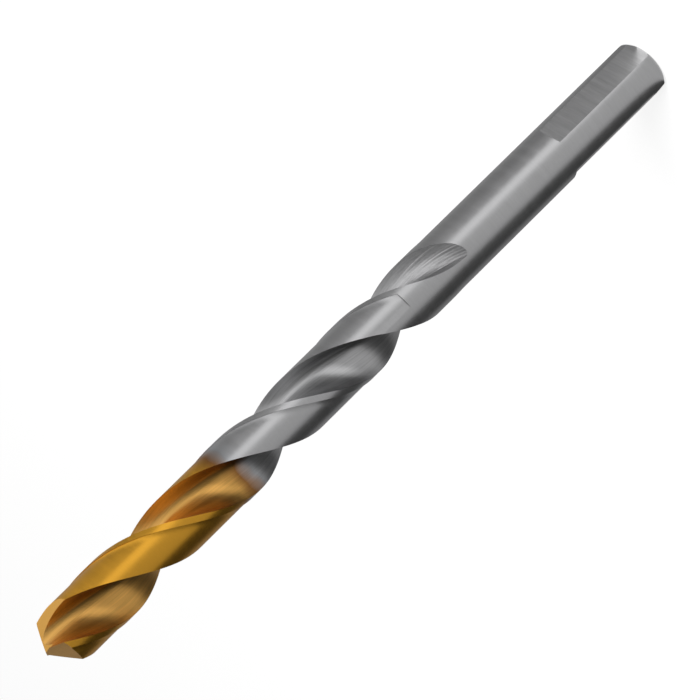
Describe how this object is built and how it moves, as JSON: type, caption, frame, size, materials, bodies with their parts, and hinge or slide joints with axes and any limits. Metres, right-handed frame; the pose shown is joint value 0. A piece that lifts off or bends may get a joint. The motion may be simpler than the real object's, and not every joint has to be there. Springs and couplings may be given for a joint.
{
  "type": "twist drill bit",
  "caption": "Metal twist drill bit with right-hand helical flutes, narrow margins, a ground split point and a round shank with clamping flats.",
  "frame": {"origin": "centre of the shank's end face, on the drill's axis; the drill stands on that face", "axes": "+Z along the drill's axis from the shank end to the point; one flat faces -Y; right-handed, +X is 90 degrees round from there"},
  "size_m": [0.0084, 0.0084, 0.117],
  "materials": {
    "tool_steel": null
  },
  "bodies": {
    "root": {"drill_bit": "tool_steel"}
  },
  "joints": []
}
